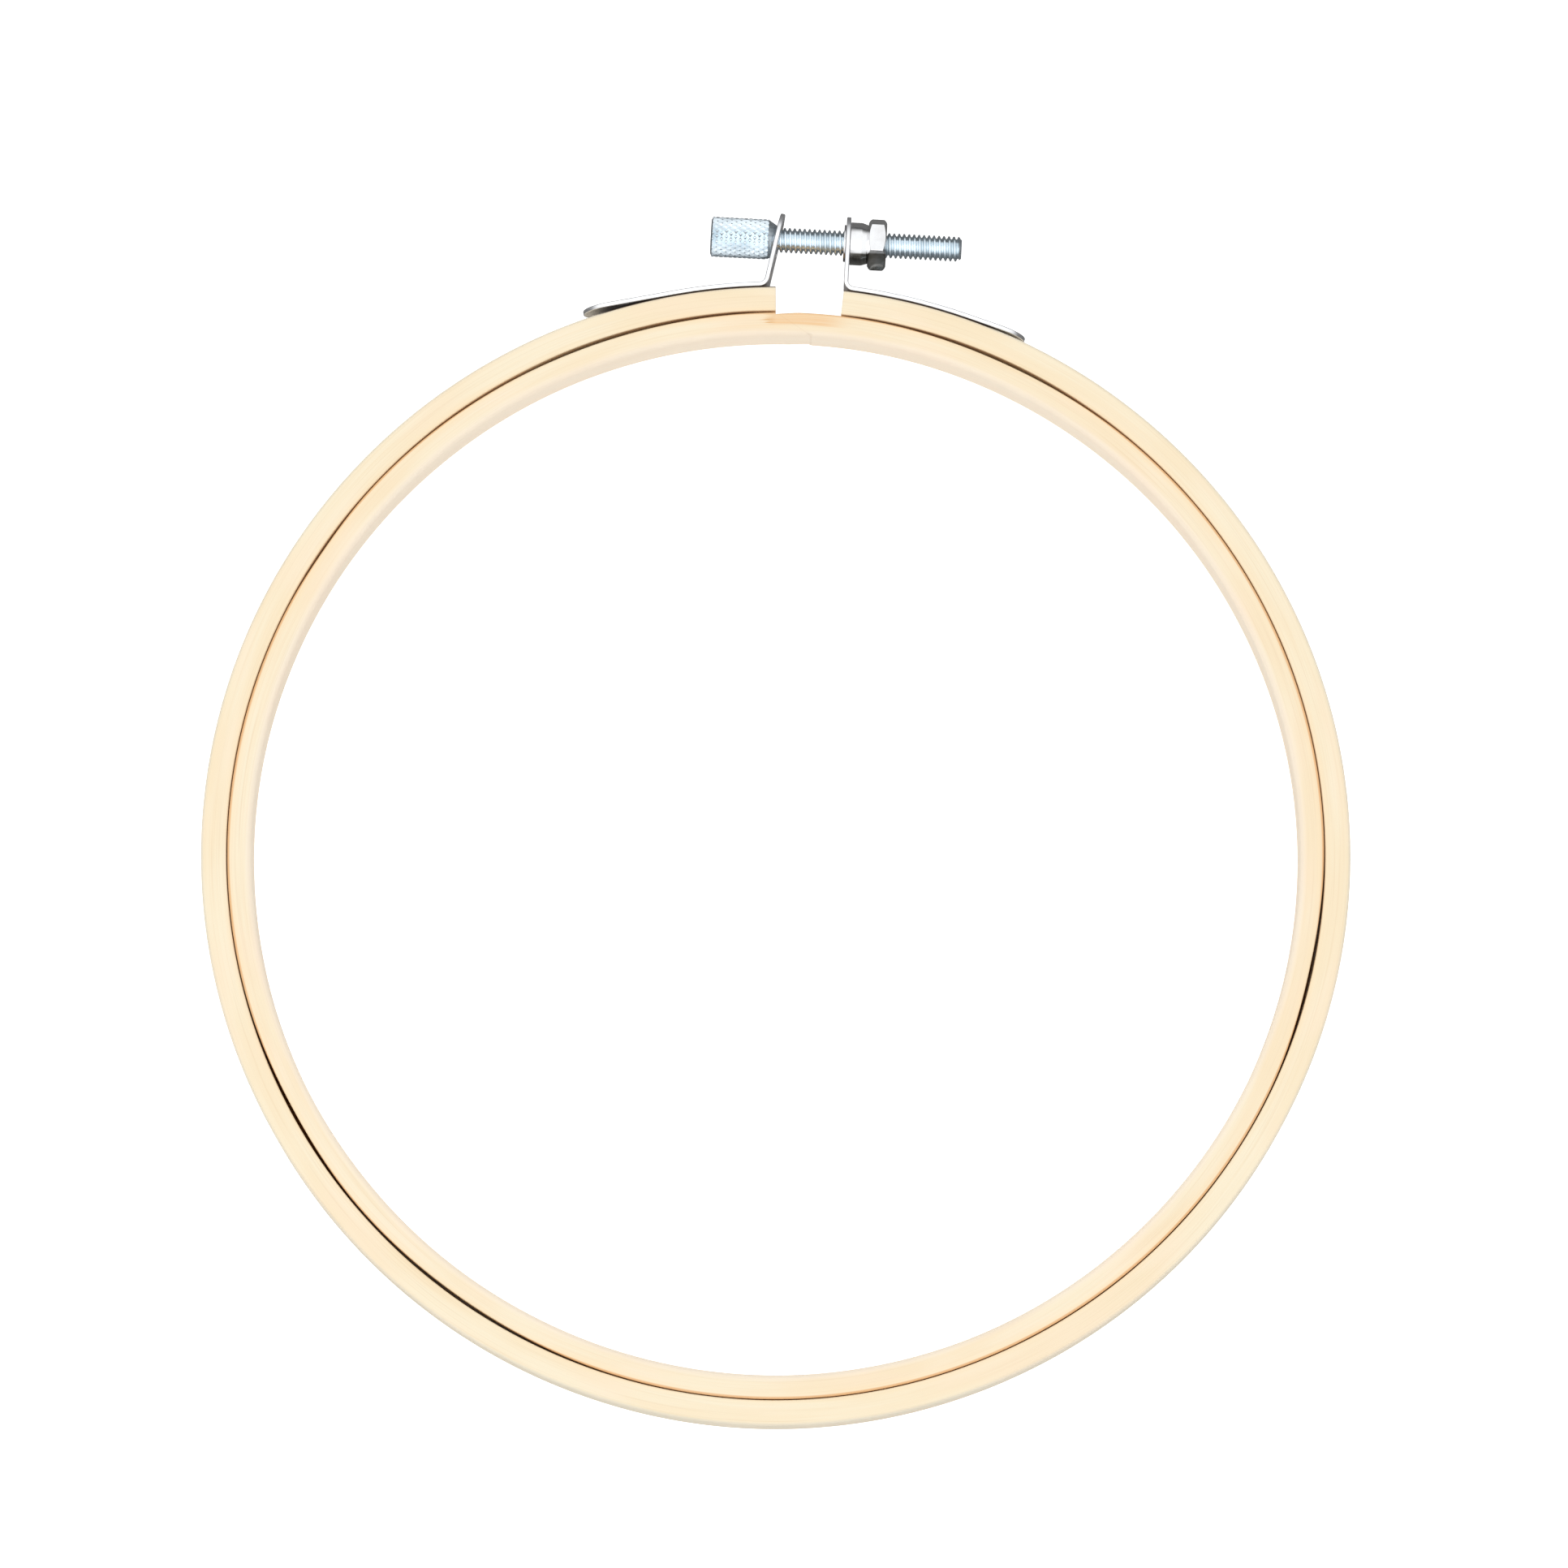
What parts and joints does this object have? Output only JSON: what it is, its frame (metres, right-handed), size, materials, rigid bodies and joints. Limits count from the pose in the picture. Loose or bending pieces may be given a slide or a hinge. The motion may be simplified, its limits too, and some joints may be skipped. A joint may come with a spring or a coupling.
{
  "type": "embroidery hoop",
  "caption": "Round bamboo embroidery hoop: an inner ring inside a split outer ring that a knurled thumb screw draws tight through two bent steel ears.",
  "frame": {"origin": "centre of the inner ring's round window, half way up the rings", "axes": "+Z along the rings' axis, up from the table that the hoop lies on; +Y from the middle towards the screw clamp; +X along the screw, from its knurled head to its tip"},
  "size_m": [0.181, 0.1934, 0.009],
  "materials": {
    "inner_bamboo": "sanded, thin matt varnish",
    "outer_bamboo": "sanded, thin matt varnish",
    "bracket_steel": "bright nickel plate",
    "nail_steel": "bright zinc plate",
    "screw_zinc": "blue zinc plate",
    "nut_nickel": "bright nickel plate"
  },
  "bodies": {
    "inner_hoop": {"inner_ring": "inner_bamboo"},
    "outer_hoop": {"outer_ring": "outer_bamboo", "right_bracket": "bracket_steel", "right_nails": "nail_steel", "swaged_nut": "nut_nickel"},
    "left_clamp": {"left_bracket": "bracket_steel", "left_nails": "nail_steel"},
    "screw": {"clamp_screw": "screw_zinc"}
  },
  "joints": [
    {"name": "ring_separation", "type": "slide", "parent": "inner_hoop", "child": "outer_hoop", "axis": [0, 0, 1], "range_m": [0, 0.03]},
    {"name": "clamp_travel", "type": "slide", "parent": "outer_hoop", "child": "left_clamp", "axis": [1, 0, 0], "range_m": [-0.00714, 0.00158], "deforming": ["outer_ring"]},
    {"name": "screw_turn", "type": "hinge", "parent": "left_clamp", "child": "screw", "pos_m": [0, 0.09865, 0], "axis": [1, 0, 0], "range_deg": [-3240, 720]}
  ],
  "couplings": [
    {"joint": "screw_turn", "follows": "clamp_travel", "rad_per_m": 7915.8}
  ]
}
